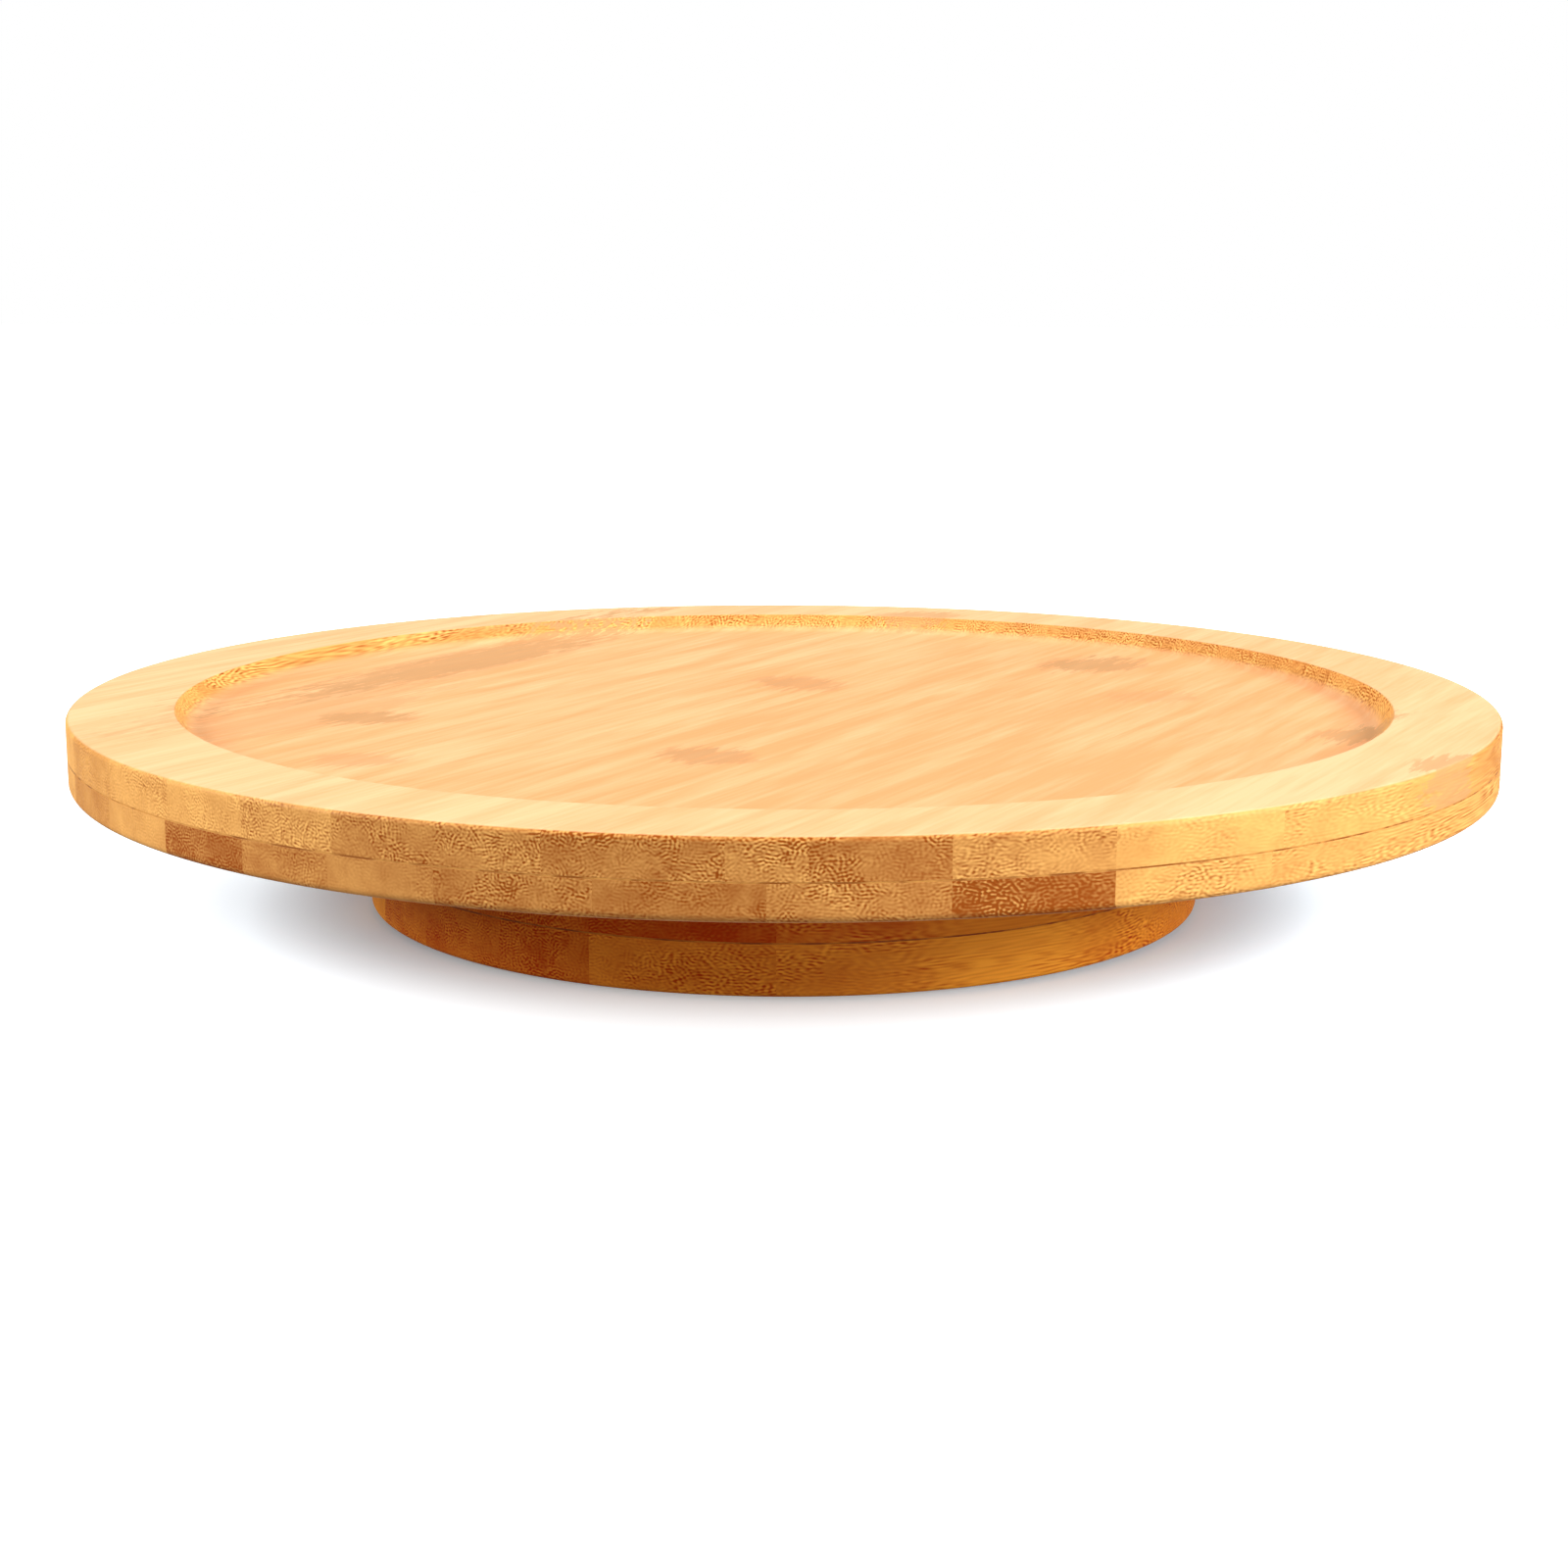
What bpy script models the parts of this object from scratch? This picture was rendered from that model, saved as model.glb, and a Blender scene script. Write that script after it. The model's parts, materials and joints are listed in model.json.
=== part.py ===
"""Lazy susan turntable, in metres, with +Z up and the floor at z = 0.

A round bamboo tray of two glued panels, with a shallow recess in its top, turns on a smaller
round bamboo base of two glued panels. Between them lies a flat ball bearing: two pressed steel
plates, a ring of balls and the cage that spaces them. The turning axis is the Z axis.
"""

import math

import bmesh
import bpy

# Gaps
FIT_GAP = 0.0003  # between two pieces that are glued, seated or pressed together
HOLE_GAP = 0.0003  # around a screw in its hole, and around a foot in its pocket
PILOT_END_GAP = 0.0004  # below the tip of a screw

# Tray
TRAY_DIAMETER = 0.305
TRAY_UPPER_THICKNESS = 0.0075
TRAY_LOWER_THICKNESS = 0.0067
TRAY_TOP_ROUNDING = 0.001
TRAY_BOTTOM_ROUNDING = 0.0015
RIM_WIDTH = 0.0218
RECESS_DEPTH = 0.004
COVE_RADIUS = 0.006

# Base
BASE_DIAMETER = 0.182
BASE_UPPER_THICKNESS = 0.01035
BASE_LOWER_THICKNESS = 0.01035
BASE_ROUNDING = 0.001

# Rubber feet, in pockets under the base
FOOT_COUNT = 4
FOOT_DIAMETER = 0.016
FOOT_PROUD = 0.001
FOOT_POCKET_DEPTH = 0.0018
FOOT_EDGE_MARGIN = 0.009
FOOT_ROUNDING = 0.0006

# Ball bearing
SHEET = 0.0012
BALL_DIAMETER = 0.004
BALL_COUNT = 20
BALL_GAP = 0.0003
RACE_RADIUS = 0.036
RACE_LIFT = 0.0007  # from the plate's flat to the bottom of its ball groove
SHOULDER_WIDTH = 0.004  # from the middle of the ball groove to the outer bend
SLOPE_WIDTH = 0.0045
BEND_SHARE = 0.4  # how far a bend's outer side lies inside its inner side, in sheet thicknesses
FLANGE_MARGIN = 0.0063  # from the foot of the slope to the straight sides
FLANGE_CORNER = 0.008
CAGE_THICKNESS = 0.0009
CAGE_WALL = 0.0013
CAGE_GAP = 0.00035  # from the cage to the plates above and below it
NECK_WIDTH = 0.0106  # from the middle of the ball groove in to the neck
NECK_GAP = 0.0008
LIP_WIDTH = 0.0032
LIP_PLAY = 0.0005  # how far the tray lifts before the lip holds it

# Screws
SCREW_EDGE_MARGIN = 0.00635
SCREW_SHANK_DIAMETER = 0.0042
SCREW_HEAD_DIAMETER = 0.0076
SCREW_HEAD_HEIGHT = 0.0022
SCREW_CROWN_SHARE = 0.65  # radius of the head's rounded shoulder, as a share of its height
SCREW_POINT_LENGTH = 0.0022
SCREW_REACH = 0.008  # how deep a screw goes into the wood

# Hole through the base, for driving the tray's screws from below
ACCESS_DIAMETER = 0.018

# Fineness of round shapes
TRAY_STEPS = 96
BASE_STEPS = 72
PLATE_STEPS = 40
CAGE_STEPS = 60
SMALL_STEPS = 12
FOOT_STEPS = 20
BALL_SEGMENTS = 10
BALL_RINGS = 6
ROUNDING_PIECES = 3
COVE_PIECES = 5
GROOVE_PIECES = 4
CORNER_PIECES = 4
SHARP_ANGLE = math.radians(35)
MERGE_DISTANCE = 1e-6
THROUGH = 0.002  # how far a cutter runs past the face that it opens

# Heights, from the floor up
base_bottom = FOOT_PROUD
base_seam = base_bottom + BASE_LOWER_THICKNESS
base_upper_bottom = base_seam + FIT_GAP
base_top = base_upper_bottom + BASE_UPPER_THICKNESS
ball_radius = BALL_DIAMETER / 2
lower_plate_bottom = base_top + FIT_GAP
ball_height = lower_plate_bottom + RACE_LIFT + SHEET + BALL_GAP + ball_radius
upper_plate_top = 2 * ball_height - lower_plate_bottom
tray_bottom = upper_plate_top + FIT_GAP
tray_seam = tray_bottom + TRAY_LOWER_THICKNESS
tray_upper_bottom = tray_seam + FIT_GAP
tray_top = tray_upper_bottom + TRAY_UPPER_THICKNESS
recess_floor = tray_top - RECESS_DEPTH

# Distances from the turning axis
tray_radius = TRAY_DIAMETER / 2
base_radius = BASE_DIAMETER / 2
recess_radius = tray_radius - RIM_WIDTH
foot_ring_radius = base_radius - FOOT_EDGE_MARGIN - FOOT_DIAMETER / 2
slope_end = RACE_RADIUS + SHOULDER_WIDTH + SLOPE_WIDTH
flange_half = slope_end + FLANGE_MARGIN
screw_place = flange_half - SCREW_EDGE_MARGIN
screw_ring_radius = screw_place * math.sqrt(2)
screw_length = 2 * FIT_GAP + SHEET + SCREW_REACH


# ---------------------------------------------------------------- outlines


def arc(centre_r, centre_z, radius, start, end, pieces):
    """Points of a round stretch of an outline, from one angle in degrees to another."""
    angles = [math.radians(start + (end - start) * i / pieces) for i in range(pieces + 1)]
    return [(centre_r + radius * math.cos(a), centre_z + radius * math.sin(a)) for a in angles]


def ring_places(count, radius, start=0.0):
    """Points spaced evenly on a circle round the turning axis; start is in degrees."""
    angles = [math.radians(start + 360 * i / count) for i in range(count)]
    return [(radius * math.cos(a), radius * math.sin(a)) for a in angles]


def disc_outline(radius, bottom, top, bottom_rounding=0.0, top_rounding=0.0):
    """Half section of a plain round panel, from the axis at the bottom to the axis at the top."""
    lower = [(radius, bottom)]
    upper = [(radius, top)]
    if bottom_rounding:
        lower = arc(radius - bottom_rounding, bottom + bottom_rounding, bottom_rounding, -90, 0, ROUNDING_PIECES)
    if top_rounding:
        upper = arc(radius - top_rounding, top - top_rounding, top_rounding, 0, 90, ROUNDING_PIECES)
    return [(0, bottom)] + lower + upper + [(0, top)]


def recess_outline():
    """The recess from its rim in to the axis: a coved wall, then the flat floor.

    A recess that is deeper than the cove has an upright wall above it.
    """
    rise = min(RECESS_DEPTH, COVE_RADIUS)
    sweep = math.degrees(math.acos(1 - rise / COVE_RADIUS))
    floor_radius = recess_radius - COVE_RADIUS * math.sin(math.radians(sweep))
    cove = arc(floor_radius, recess_floor + COVE_RADIUS, COVE_RADIUS, sweep - 90, -90, COVE_PIECES)
    return [(recess_radius, tray_top)] + cove + [(0, recess_floor)]


def pressed_section(side):
    """One face of a bearing plate from its flange in to the neck, as (radius, height) pairs.

    Heights are measured from the ball centres and grow away from the balls. side is 0 for the
    face towards the balls and 1 for the face away from them.
    """
    groove = ball_radius + BALL_GAP + side * SHEET
    shoulder = CAGE_THICKNESS / 2 + CAGE_GAP + side * SHEET
    flange = ball_height - lower_plate_bottom - (1 - side) * SHEET
    edge = math.degrees(math.asin(shoulder / groove))
    race = arc(RACE_RADIUS, 0, groove, edge, 180 - edge, GROOVE_PIECES)
    bend = side * SHEET * BEND_SHARE
    outer = [(slope_end - bend, flange), (RACE_RADIUS + SHOULDER_WIDTH - bend, shoulder)]
    return outer + race, shoulder


def flange_reach():
    """Radius of a disc that covers the flange's corners."""
    return flange_half * math.sqrt(2)


def lower_plate_outline():
    """Section of the lower plate: its flange, its ball groove and the hole for the neck."""
    inner_edge = RACE_RADIUS - NECK_WIDTH + NECK_GAP
    upper_face, shoulder = pressed_section(0)
    lower_face, back = pressed_section(1)
    flange = ball_height - lower_plate_bottom
    ball_side = [(flange_reach(), flange - SHEET)] + upper_face + [(inner_edge, shoulder)]
    base_side = [(flange_reach(), flange)] + lower_face + [(inner_edge, back)]
    return [(r, ball_height - h) for r, h in ball_side + base_side[::-1]]


def upper_plate_outline():
    """Section of the upper plate: flange, ball groove, and a neck with a lip that holds the lower plate."""
    neck = RACE_RADIUS - NECK_WIDTH
    lower_face, shoulder = pressed_section(0)
    upper_face, back = pressed_section(1)
    flange = ball_height - lower_plate_bottom
    lip_top = -(shoulder + SHEET + LIP_PLAY)
    lip_bottom = lip_top - SHEET
    ball_side = [(flange_reach(), flange - SHEET)] + lower_face + [(neck, shoulder)]
    lip = [(neck, lip_top), (neck + LIP_WIDTH, lip_top), (neck + LIP_WIDTH, lip_bottom)]
    inside = [(neck - SHEET, lip_bottom), (neck - SHEET, back)]
    tray_side = [(flange_reach(), flange)] + upper_face
    return [(r, ball_height + h) for r, h in ball_side + lip + inside + tray_side[::-1]]


def screw_outline():
    """Half section of a pan-head wood screw, with the underside of its head at z = 0."""
    head = SCREW_HEAD_DIAMETER / 2
    shank = SCREW_SHANK_DIAMETER / 2
    crown = SCREW_HEAD_HEIGHT * SCREW_CROWN_SHARE
    shoulder = arc(head - crown, SCREW_HEAD_HEIGHT - crown, crown, 90, 0, ROUNDING_PIECES)
    dome = [(0, SCREW_HEAD_HEIGHT)] + shoulder
    point = [(shank, SCREW_POINT_LENGTH - screw_length), (0, -screw_length)]
    return dome + [(head, 0), (shank, 0)] + point


# ---------------------------------------------------------------- making pieces


def clear_scene():
    for obj in list(bpy.data.objects):
        bpy.data.objects.remove(obj)


def material(name, colour, roughness, metallic=0.0):
    """A plain finish: base colour, roughness and metallic value."""
    made = bpy.data.materials.new(name)
    made.use_nodes = True
    shader = made.node_tree.nodes["Principled BSDF"]
    shader.inputs["Base Color"].default_value = (*colour, 1)
    shader.inputs["Roughness"].default_value = roughness
    shader.inputs["Metallic"].default_value = metallic
    return made


def turned_mesh(name, outline, steps):
    """A closed round mesh: the outline of (radius, height) points, turned about the Z axis."""
    shape = bmesh.new()
    ends = [shape.verts.new((r, 0, z)) for r, z in outline]
    edges = [shape.edges.new(pair) for pair in zip(ends, ends[1:] + ends[:1])]
    turn = {"cent": (0, 0, 0), "axis": (0, 0, 1), "angle": math.tau, "steps": steps}
    bmesh.ops.spin(shape, geom=ends + edges, use_merge=True, **turn)
    bmesh.ops.remove_doubles(shape, verts=shape.verts, dist=MERGE_DISTANCE)
    loose = [edge for edge in shape.edges if not edge.link_faces]
    bmesh.ops.delete(shape, geom=loose, context="EDGES")
    bmesh.ops.recalc_face_normals(shape, faces=shape.faces)
    mesh = bpy.data.meshes.new(name)
    shape.to_mesh(mesh)
    shape.free()
    mesh.shade_smooth()
    mesh.set_sharp_from_angle(angle=SHARP_ANGLE)
    return mesh


def place(name, mesh, finish, owner, location=(0, 0, 0), flipped=False):
    """One named piece, riding on the empty that its moving group turns with."""
    if not mesh.materials:
        mesh.materials.append(finish)
    piece = bpy.data.objects.new(name, mesh)
    bpy.context.scene.collection.objects.link(piece)
    piece.parent = owner
    piece.location = location
    if flipped:
        piece.rotation_euler.x = math.pi
    return piece


def group_empty(name):
    """The empty on the turning axis that a moving group rides on."""
    empty = bpy.data.objects.new(name, None)
    bpy.context.scene.collection.objects.link(empty)
    return empty


def boolean(piece, operation, tool):
    """Hides the tool from renders and combines it with the piece."""
    tool.hide_render = True
    tool.display_type = "WIRE"
    step = piece.modifiers.new(operation.lower(), "BOOLEAN")
    step.operation = operation
    step.solver = "EXACT"
    step.object = tool


def drill(piece, holes, steps=SMALL_STEPS):
    """Cuts round upright holes, each given as (x, y, bottom, top, diameter)."""
    shape = bmesh.new()
    for x, y, bottom, top, diameter in holes:
        sizes = {"radius1": diameter / 2, "radius2": diameter / 2, "depth": top - bottom}
        made = bmesh.ops.create_cone(shape, cap_ends=True, segments=steps, **sizes)
        bmesh.ops.translate(shape, verts=made["verts"], vec=(x, y, (top + bottom) / 2))
    mesh = bpy.data.meshes.new(piece.name + "_holes")
    shape.to_mesh(mesh)
    shape.free()
    cutter = bpy.data.objects.new(mesh.name, mesh)
    bpy.context.scene.collection.objects.link(cutter)
    cutter.parent = piece.parent
    boolean(piece, "DIFFERENCE", cutter)


def trim_square(plate):
    """Trims a round plate to a square with rounded corners."""
    shape = bmesh.new()
    bmesh.ops.create_cube(shape, size=2 * flange_half)
    upright = [e for e in shape.edges if abs(e.verts[0].co.z - e.verts[1].co.z) > flange_half]
    rounding = {"offset": FLANGE_CORNER, "segments": CORNER_PIECES, "profile": 0.5, "affect": "EDGES"}
    bmesh.ops.bevel(shape, geom=upright, **rounding)
    mesh = bpy.data.meshes.new(plate.name + "_square")
    shape.to_mesh(mesh)
    shape.free()
    trimmer = bpy.data.objects.new(mesh.name, mesh)
    bpy.context.scene.collection.objects.link(trimmer)
    trimmer.parent = plate.parent
    boolean(plate, "INTERSECT", trimmer)


def screw_places():
    return [(sx * screw_place, sy * screw_place) for sx, sy in ((1, 1), (-1, 1), (-1, -1), (1, -1))]


def pilot_holes(low, high):
    """Holes for the screws' shanks between two heights."""
    size = SCREW_SHANK_DIAMETER + 2 * HOLE_GAP
    return [(x, y, low, high, size) for x, y in screw_places()]


def access_hole():
    """The screwdriver's way through the base. Each tray screw comes over it as the tray turns."""
    return [(screw_ring_radius, 0, base_bottom - THROUGH, base_top + THROUGH, ACCESS_DIAMETER)]


# ---------------------------------------------------------------- the pieces


def tray_panels(owner, bamboo):
    """The tray's two glued panels, with the recess above and the screws' pilot holes below."""
    pilot_top = tray_bottom + SCREW_REACH + PILOT_END_GAP
    edge = tray_radius - TRAY_TOP_ROUNDING
    rounded = arc(edge, tray_top - TRAY_TOP_ROUNDING, TRAY_TOP_ROUNDING, 0, 90, ROUNDING_PIECES)
    outline = [(0, tray_upper_bottom), (tray_radius, tray_upper_bottom)] + rounded + recess_outline()
    upper = place("tray_upper_panel", turned_mesh("tray_upper_panel", outline, TRAY_STEPS), bamboo, owner)
    outline = disc_outline(tray_radius, tray_bottom, tray_seam, bottom_rounding=TRAY_BOTTOM_ROUNDING)
    lower = place("tray_lower_panel", turned_mesh("tray_lower_panel", outline, TRAY_STEPS), bamboo, owner)
    if pilot_top > tray_upper_bottom:
        drill(upper, pilot_holes(tray_upper_bottom - THROUGH, pilot_top))
    drill(lower, pilot_holes(tray_bottom - THROUGH, min(pilot_top, tray_seam + THROUGH)))


def base_panels(owner, bamboo):
    """The base's two glued panels, with the access hole, the pilot holes and the feet's pockets."""
    outline = disc_outline(base_radius, base_upper_bottom, base_top, top_rounding=BASE_ROUNDING)
    upper = place("base_upper_panel", turned_mesh("base_upper_panel", outline, BASE_STEPS), bamboo, owner)
    outline = disc_outline(base_radius, base_bottom, base_seam, bottom_rounding=BASE_ROUNDING)
    lower = place("base_lower_panel", turned_mesh("base_lower_panel", outline, BASE_STEPS), bamboo, owner)
    pilot_bottom = base_top - SCREW_REACH - PILOT_END_GAP
    drill(upper, pilot_holes(pilot_bottom, base_top + THROUGH) + access_hole())
    pocket_top = base_bottom + FOOT_POCKET_DEPTH
    pocket = FOOT_DIAMETER + 2 * HOLE_GAP
    pockets = [(x, y, base_bottom - THROUGH, pocket_top, pocket) for x, y in foot_places()]
    if pilot_bottom < base_seam:
        pockets += pilot_holes(pilot_bottom, base_seam + THROUGH)
    drill(lower, pockets + access_hole(), FOOT_STEPS)


def foot_places():
    return ring_places(FOOT_COUNT, foot_ring_radius, start=180 / FOOT_COUNT)


def rubber_feet(owner, rubber):
    """Round feet, seated in their pockets and standing a little proud of the base."""
    top = FOOT_PROUD + FOOT_POCKET_DEPTH - FIT_GAP
    outline = disc_outline(FOOT_DIAMETER / 2, 0, top, bottom_rounding=FOOT_ROUNDING)
    mesh = turned_mesh("rubber_foot", outline, FOOT_STEPS)
    for number, (x, y) in enumerate(foot_places(), start=1):
        place(f"rubber_foot_{number}", mesh, rubber, owner, (x, y, 0))


def bearing_plates(base, tray, zinc):
    """The two pressed plates: the lower one on the base, the upper one under the tray."""
    lower_mesh = turned_mesh("bearing_lower_plate", lower_plate_outline(), PLATE_STEPS)
    lower = place("bearing_lower_plate", lower_mesh, zinc, base)
    upper_mesh = turned_mesh("bearing_upper_plate", upper_plate_outline(), PLATE_STEPS)
    upper = place("bearing_upper_plate", upper_mesh, zinc, tray)
    for plate in (lower, upper):
        trim_square(plate)
        drill(plate, pilot_holes(base_top, tray_bottom))


def ball_ring(owner, steel, nylon):
    """The balls, evenly spaced in the pockets of a flat ring."""
    places = ring_places(BALL_COUNT, RACE_RADIUS)
    shape = bmesh.new()
    pieces = {"u_segments": BALL_SEGMENTS, "v_segments": BALL_RINGS}
    bmesh.ops.create_uvsphere(shape, radius=ball_radius, **pieces)
    mesh = bpy.data.meshes.new("bearing_ball")
    shape.to_mesh(mesh)
    shape.free()
    mesh.shade_smooth()
    for number, (x, y) in enumerate(places, start=1):
        place(f"bearing_ball_{number:02}", mesh, steel, owner, (x, y, ball_height))
    half = ball_radius + BALL_GAP + CAGE_WALL
    low = ball_height - CAGE_THICKNESS / 2
    high = ball_height + CAGE_THICKNESS / 2
    inner = RACE_RADIUS - half
    outer = RACE_RADIUS + half
    outline = [(inner, low), (outer, low), (outer, high), (inner, high)]
    cage = place("ball_cage", turned_mesh("ball_cage", outline, CAGE_STEPS), nylon, owner)
    pocket = BALL_DIAMETER + 2 * BALL_GAP
    drill(cage, [(x, y, low - THROUGH, high + THROUGH, pocket) for x, y in places])


def screws(base, tray, steel):
    """Four screws down through the lower plate into the base, four up into the tray."""
    mesh = turned_mesh("wood_screw", screw_outline(), SMALL_STEPS)
    base_seat = lower_plate_bottom + SHEET + FIT_GAP
    tray_seat = upper_plate_top - SHEET - FIT_GAP
    for number, (x, y) in enumerate(screw_places(), start=1):
        place(f"base_screw_{number}", mesh, steel, base, (x, y, base_seat))
        place(f"tray_screw_{number}", mesh, steel, tray, (x, y, tray_seat), flipped=True)


def build():
    clear_scene()
    tray_bamboo = material("tray_bamboo", (0.86, 0.52, 0.22), 0.42)
    base_bamboo = material("base_bamboo", (0.42, 0.17, 0.035), 0.45)
    zinc = material("zinc_plate", (0.62, 0.63, 0.64), 0.38, metallic=1.0)
    ball_steel = material("ball_steel", (0.72, 0.72, 0.73), 0.12, metallic=1.0)
    screw_steel = material("screw_steel", (0.55, 0.55, 0.56), 0.3, metallic=1.0)
    nylon = material("cage_nylon", (0.78, 0.77, 0.72), 0.5)
    rubber = material("foot_rubber", (0.03, 0.03, 0.032), 0.7)
    base = group_empty("base_group")
    tray = group_empty("tray_group")
    balls = group_empty("ball_ring_group")
    tray_panels(tray, tray_bamboo)
    base_panels(base, base_bamboo)
    rubber_feet(base, rubber)
    bearing_plates(base, tray, zinc)
    ball_ring(balls, ball_steel, nylon)
    screws(base, tray, screw_steel)


build()
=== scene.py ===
"""Looks for the lazy susan turntable: laminated bamboo boards, a zinc-plated ball bearing and rubber feet."""

import json
import math

import bmesh
import bpy
from mathutils import Matrix, Vector


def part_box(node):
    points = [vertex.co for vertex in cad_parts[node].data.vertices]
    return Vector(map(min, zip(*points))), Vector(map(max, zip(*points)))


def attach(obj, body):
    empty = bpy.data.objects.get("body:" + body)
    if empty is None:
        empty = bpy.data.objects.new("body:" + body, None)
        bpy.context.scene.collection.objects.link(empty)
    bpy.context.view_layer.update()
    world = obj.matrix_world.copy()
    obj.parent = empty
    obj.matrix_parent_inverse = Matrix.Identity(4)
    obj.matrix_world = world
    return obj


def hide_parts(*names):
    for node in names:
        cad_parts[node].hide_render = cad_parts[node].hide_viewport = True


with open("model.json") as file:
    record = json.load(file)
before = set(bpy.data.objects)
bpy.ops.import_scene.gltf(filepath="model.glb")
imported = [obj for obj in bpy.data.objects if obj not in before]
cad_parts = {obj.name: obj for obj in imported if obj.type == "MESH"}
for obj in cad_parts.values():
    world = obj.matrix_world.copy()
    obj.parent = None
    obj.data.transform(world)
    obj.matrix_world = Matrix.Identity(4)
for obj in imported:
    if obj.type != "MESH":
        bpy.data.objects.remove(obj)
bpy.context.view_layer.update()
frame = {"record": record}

MM = 0.001

# The fineness of the visible surfaces, and roundings that the CAD solids leave out
TURN_STEPS = 288
SMALL_TURN_STEPS = 64
PLATE_TURN_STEPS = 160
CAGE_TURN_STEPS = 200
CAGE_POCKET_STEPS = 40
SCREW_HEAD_STEPS = 72
AXIS_REACH = 1e-7  # an outline's points nearer than this are on the axis
SEAM_ARRIS = 0.05 * MM
RECESS_LIP = 0.5 * MM
TRAY_TOP_ROUNDING = 1.0 * MM
TRAY_BOTTOM_ROUNDING = 1.5 * MM
BASE_ROUNDING = 1.0 * MM
RIM_WIDTH = 21.8 * MM
COVE_RADIUS = 6.0 * MM
GLUE_INSET = 0.02 * MM
PLATE_ROUNDING = 0.25 * MM
CAGE_ROUNDING = 0.2 * MM
SUPPORT = 0.2 * MM  # from a rounding to the ring of points that keeps the flat beside it flat
SHARP_ANGLE = math.radians(32)

# Pressings, cage, screws and holes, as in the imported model
SHEET = 1.2 * MM
BALL_GAP = 0.3 * MM
CAGE_GAP = 0.35 * MM
SHOULDER_WIDTH = 4.0 * MM
FLANGE_MARGIN = 6.3 * MM
FLANGE_CORNER = 8.0 * MM
NECK_WIDTH = 10.6 * MM
NECK_GAP = 0.8 * MM
LIP_WIDTH = 3.2 * MM
BEND_SHARE = 0.4
SHANK_RADIUS = 2.1 * MM
SCREW_HEAD_HEIGHT = 2.2 * MM
HOLE_GAP = 0.3 * MM
ACCESS_RADIUS = 9.0 * MM
CUT_PAST = 1.0 * MM
BALLS = 20
SCREWS = range(1, 5)
FEET = range(1, 5)

# The way the bamboo runs, from +X towards +Y
TRAY_GRAIN = math.radians(61)
BASE_GRAIN = math.radians(29)

# Each strip's seed is this share of 1 past the last one's, so that no two neighbours look alike
SEED_STEP = 0.381966

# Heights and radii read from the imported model
tray_low, tray_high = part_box("tray_upper_panel")
lower_low, lower_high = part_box("tray_lower_panel")
base_upper_low, base_upper_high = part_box("base_upper_panel")
base_lower_low, base_lower_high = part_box("base_lower_panel")
TRAY_RADIUS = tray_high.x
BASE_RADIUS = base_upper_high.x
TRAY_TOP = tray_high.z
mounts = {m["name"]: m for m in frame["record"]["mounts"]}
RECESS_FLOOR = mounts["recess_floor"]["pos_m"][2]
RECESS_RADIUS = TRAY_RADIUS - RIM_WIDTH
BALL_HEIGHT = sum(corner.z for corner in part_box("bearing_ball_01")) / 2
BALL_RADIUS = (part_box("bearing_ball_01")[1].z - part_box("bearing_ball_01")[0].z) / 2
RACE_RADIUS = sum(corner.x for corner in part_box("bearing_ball_01")) / 2


# ---------------------------------------------------------------- camera, floor and light


def add_camera():
    """Low three-quarter view from the front, a little above the tray."""
    tray_radii_away = 3.5
    height_above_tray = 0.549 * TRAY_RADIUS
    pitch_down = math.radians(11.15)
    roll = math.radians(0.17)
    sensor_width_mm = 36
    lens_mm = 56.18
    data = bpy.data.cameras.new("camera")
    data.sensor_width = sensor_width_mm
    data.lens = lens_mm
    camera = bpy.data.objects.new("camera", data)
    bpy.context.scene.collection.objects.link(camera)
    place = Matrix.Translation((0, -tray_radii_away * TRAY_RADIUS, TRAY_TOP + height_above_tray))
    turn = Matrix.Rotation(math.pi / 2 - pitch_down, 4, "X") @ Matrix.Rotation(roll, 4, "Z")
    camera.matrix_world = place @ turn
    bpy.context.scene.camera = camera


def add_floor():
    reach = 12.0
    mesh = bpy.data.meshes.new("floor")
    corners = [(-reach, -reach, 0), (reach, -reach, 0), (reach, reach, 0), (-reach, reach, 0)]
    mesh.from_pydata(corners, [], [(0, 1, 2, 3)])
    mesh.materials.append(floor_material())
    floor = bpy.data.objects.new("floor", mesh)
    bpy.context.scene.collection.objects.link(floor)


def floor_material():
    """Pale, with a painted soft shadow near the object and white further off; from below it can be seen
    through.
    """
    shade_squeeze = (1.0, 1.4, 1.0)  # the painted shadow ends sooner to the front and the back than to the sides
    shade_end = 1.75 * BASE_RADIUS
    white_from = 0.7
    glow_under = 0.08
    glow_at_shade_end = 0.78
    glow_as_light = 0.12
    # bluish, so that the floor's shade comes out grey and not warm from the bamboo's bounce light
    seen_colour = (0.67, 0.80, 0.90)
    colour_as_light = (0.2, 0.2, 0.2)
    made = bpy.data.materials.new("floor_white")
    made.use_nodes = True
    n = Nodes(made.node_tree)
    place = n.vector("MULTIPLY", n.add("TexCoord").outputs["Object"], shade_squeeze)
    away = n.vector("LENGTH", place, (0, 0, 0))
    # Painted shadow: the glow that the camera sees is low under the object and rises towards shade_end
    painted_shadow_glow = n.ramp(away, BASE_RADIUS, shade_end, glow_under, glow_at_shade_end)
    far = n.ramp(away, shade_end, white_from, 0.0, 1 - glow_at_shade_end)
    seen = floor_shader(n, seen_colour, n.math("ADD", painted_shadow_glow, far))
    felt = floor_shader(n, colour_as_light, glow_as_light)
    paths = n.add("LightPath")
    # The camera sees the floor with its painted shadow; as light it gives only a faint even glow
    shown = mix_shaders(n, paths.outputs["Is Camera Ray"], felt, seen)
    through = mix_shaders(n, n.add("NewGeometry").outputs["Backfacing"], shown, n.add("BsdfTransparent"))
    n.feed(made.node_tree.nodes["Material Output"].inputs["Surface"], through.outputs[0])
    return made


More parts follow.
